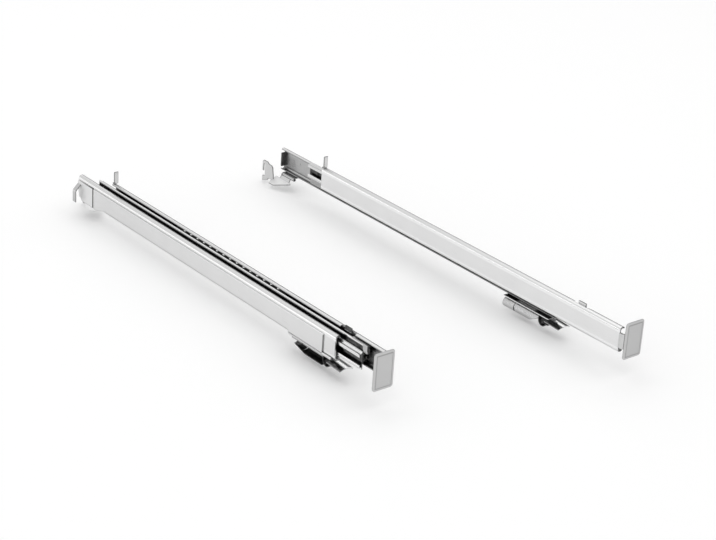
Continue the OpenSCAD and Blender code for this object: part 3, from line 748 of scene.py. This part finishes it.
def rear_stop(side):
    """The upright tab: a flat foot on the tray rail and a bend up into the stop."""
    rail_top = LIP_R + 0.02
    foot_z, tab_y = rail_top + 0.55, -2.1
    path = softened([(-0.3, foot_z), (tab_y, foot_z), (tab_y, rail_top + 10.73)], 1.0, closed=False)
    rings = across_u(carried(sheet_outline(path, 1.1), 7.7, 11.7, SPRING_EDGE))
    build("stop_tab", [rings], side, "tray_side", "spring_steel", ["rear_stop"])


def end_plate(side):
    """The front plate. Rings of a rounded rectangle are drawn in step by step: round the outer
    edge, across the flat border, up a soft shoulder and over the slightly crowned panel. The
    shoulder's height follows s^2 (3 - 2s), s from 0 to 1."""
    width, height, corner, sheet = 19.0, 30.8, 2.4, 1.2
    back_edge, front_edge = 0.3, 0.55
    border, shoulder, rise = 1.6, 1.1, 0.4
    centre = np.array([SECTION_W - 1 - width / 2, 8 - height / 2])
    w = np.linspace(0, np.pi / 2, 6)
    s = np.linspace(0, 1, 9)
    drawn_in = np.concatenate([back_edge * (1 - np.sin(w)), front_edge * (1 - np.cos(w)), [0.7, 1.55],
                               border + shoulder * s, [2.9, 5.0, 8.9]])
    depth = np.concatenate([back_edge * (1 - np.cos(w)), sheet - front_edge * (1 - np.sin(w)),
                            [sheet, sheet], sheet + rise * s ** 2 * (3 - 2 * s), [1.61, 1.65, 1.69]])
    round_r = np.maximum(corner - drawn_in, 0.3)[:, None, None]
    half = np.array([width, height]) / 2 - drawn_in[:, None]
    turn = np.radians(np.arange(4)[:, None] * 90 + np.linspace(0, 90, 9)).ravel()
    round_corner = round_r * np.stack([np.cos(turn), np.sin(turn)], 1)
    sign = np.repeat(np.array([[1, 1], [-1, 1], [-1, -1], [1, -1]]), 9, 0)
    ring = centre + sign * (half[:, None] - round_r) + round_corner
    # Painted shade on the rounded back edge and in a line along the shoulder, and a faint painted
    # highlight on the front edge and the flat border.
    tone = np.concatenate([[-0.3] * 6, [0.05] * 8, -0.35 * np.sin(np.pi * s), [0, 0, 0]])
    y, tone = (np.broadcast_to(each[:, None], ring.shape[:2]) for each in (PLATE_BACK - depth, tone))
    rings = np.stack([ring[..., 0], y, ring[..., 1], tone], 2)
    build("front_plate", [rings], side, "tray_side", "plate_steel", ["end_plate"])


PIECES = (fixed_rail, middle_rail, tray_rail, holder_plate, rear_hook, rear_bracket, front_clip,
          catch, guide_tongue, rear_stop, end_plate)
for side in SIDES:
    for piece in PIECES:
        piece(side)


# Camera, at the photo's viewing angle: its place in metres, the directions in which it looks and
# has its right, and the focal length and the middle of the view in pixels.

IMAGE_W, IMAGE_H = 716, 540
FOCAL_PX = 1998.65
MIDDLE_PX = (354.33, 273.18)
SENSOR_MM = 36.0
EYE = Vector((-0.84889, -1.07504, 0.68939))
AHEAD = Vector((0.582831, 0.697325, -0.417189))
RIGHTWARDS = Vector((0.783306, -0.618722, 0.060128))

camera_data = bpy.data.cameras.new("camera")
camera = bpy.data.objects.new("camera", camera_data)
bpy.context.scene.collection.objects.link(camera)
ahead = AHEAD.normalized()
rightwards = (RIGHTWARDS - RIGHTWARDS.dot(ahead) * ahead).normalized()
turn = Matrix((rightwards, rightwards.cross(ahead), -ahead)).transposed().to_4x4()
camera.matrix_world = Matrix.Translation(EYE) @ turn
camera_data.sensor_width = SENSOR_MM
camera_data.lens = SENSOR_MM * FOCAL_PX / IMAGE_W
camera_data.shift_x = (IMAGE_W / 2 - MIDDLE_PX[0]) / IMAGE_W
camera_data.shift_y = (MIDDLE_PX[1] - IMAGE_H / 2) / IMAGE_W
camera_data.clip_end = 20.0
bpy.context.scene.camera = camera


# Floor, room and lamp.

def among_rays(tree, *kinds):
    """1 for a ray of one of the kinds named and 0 for any other: the largest of their outputs."""
    rays = tree.nodes.new("ShaderNodeLightPath")
    share, *others = (rays.outputs["Is " + kind + " Ray"] for kind in kinds)
    for other in others:
        share = combined(tree, "MAXIMUM", share, other)
    return share


REACH = 6.0
FLOOR_Z = CAD_BOX[0][2] - 0.0005
floor_mesh = bpy.data.meshes.new("floor")
floor_mesh.from_pydata([(-REACH, -REACH, FLOOR_Z), (REACH, -REACH, FLOOR_Z), (REACH, REACH, FLOOR_Z),
                        (-REACH, REACH, FLOOR_Z)], [], [(0, 1, 2, 3)])
floor = bpy.data.objects.new("floor", floor_mesh)
bpy.context.scene.collection.objects.link(floor)
pale, tree, floor_shader = new_material("pale_floor")
floor_shader.inputs["Roughness"].default_value = 0.9
seen = among_rays(tree, "Camera", "Glossy", "Transmission")
floor_colour = mixed(tree, seen, (0.8, 0.8, 0.8), (1.0, 1.0, 1.0))
tree.links.new(floor_colour, floor_shader.inputs["Base Color"])
floor_mesh.materials.append(pale)

# The camera sees white behind the object. Other rays meet an evenly lit room, whose rear wall has
# a light patch low on its left, a paler one high on its right and a dark one below that, for the
# steel to mirror.
ROOM_LIGHT = 0.84

world = bpy.data.worlds.new("world")
bpy.context.scene.world = world
world.use_nodes = True
world_tree = world.node_tree
room = world_tree.nodes["Background"]
room.inputs["Color"].default_value = (1, 1, 1, 1)
white = world_tree.nodes.new("ShaderNodeBackground")
white.inputs["Color"].default_value = (1, 1, 1, 1)
towards = world_tree.nodes.new("ShaderNodeTexCoord")
way = world_tree.nodes.new("ShaderNodeSeparateXYZ")
world_tree.links.new(towards.outputs["Generated"], way.inputs[0])


def patch(strength, *ramps):
    """A part of the room that is lighter or darker: the strength times a ramp from 0 to 1 for each
    axis and pair of ends given."""
    share = None
    for axis, low, high in ramps:
        if share is None:
            share = ranged(world_tree, way.outputs[axis], low, high, 0, strength)
        else:
            ramp = ranged(world_tree, way.outputs[axis], low, high, 0, 1)
            share = combined(world_tree, "MULTIPLY", share, ramp)
    return share


behind = ("Y", 0.2, 0.4)
light_wall = patch(0.9, ("X", -0.56, -0.68), ("Z", -0.1, 0.0), ("Z", 0.26, 0.1), behind)
high_wall = patch(0.42, ("X", 0.0, 0.3), ("Z", 0.3, 0.4), ("Z", 0.7, 0.5), behind)
dark_wall = patch(-0.8, ("X", 0.59, 0.63), ("Z", 0.41, 0.36), behind)
glow = combined(world_tree, "ADD", dark_wall, ROOM_LIGHT)
glow = combined(world_tree, "ADD", high_wall, glow)
glow = combined(world_tree, "ADD", light_wall, glow)
world_tree.links.new(glow, room.inputs["Strength"])
mix = world_tree.nodes.new("ShaderNodeMixShader")
world_tree.links.new(among_rays(world_tree, "Camera", "Transmission"), mix.inputs[0])
world_tree.links.new(room.outputs[0], mix.inputs[1])
world_tree.links.new(white.outputs[0], mix.inputs[2])
world_tree.links.new(mix.outputs[0], world_tree.nodes["World Output"].inputs["Surface"])


def lamp(name, place, size, power):
    """A square soft light at a place, turned to the middle of the object."""
    data = bpy.data.lights.new(name, "AREA")
    data.shape = "SQUARE"
    data.size = size
    data.energy = power
    light = bpy.data.objects.new(name, data)
    bpy.context.scene.collection.objects.link(light)
    light.location = place
    to_middle = Vector((0.1, 0.1, 0)) - Vector(place)
    light.rotation_euler = to_middle.to_track_quat("-Z", "Y").to_euler()


lamp("top_light", place=(0.1, 0.3, 2.4), size=3.0, power=14)

bpy.context.scene.view_settings.view_transform = "Standard"
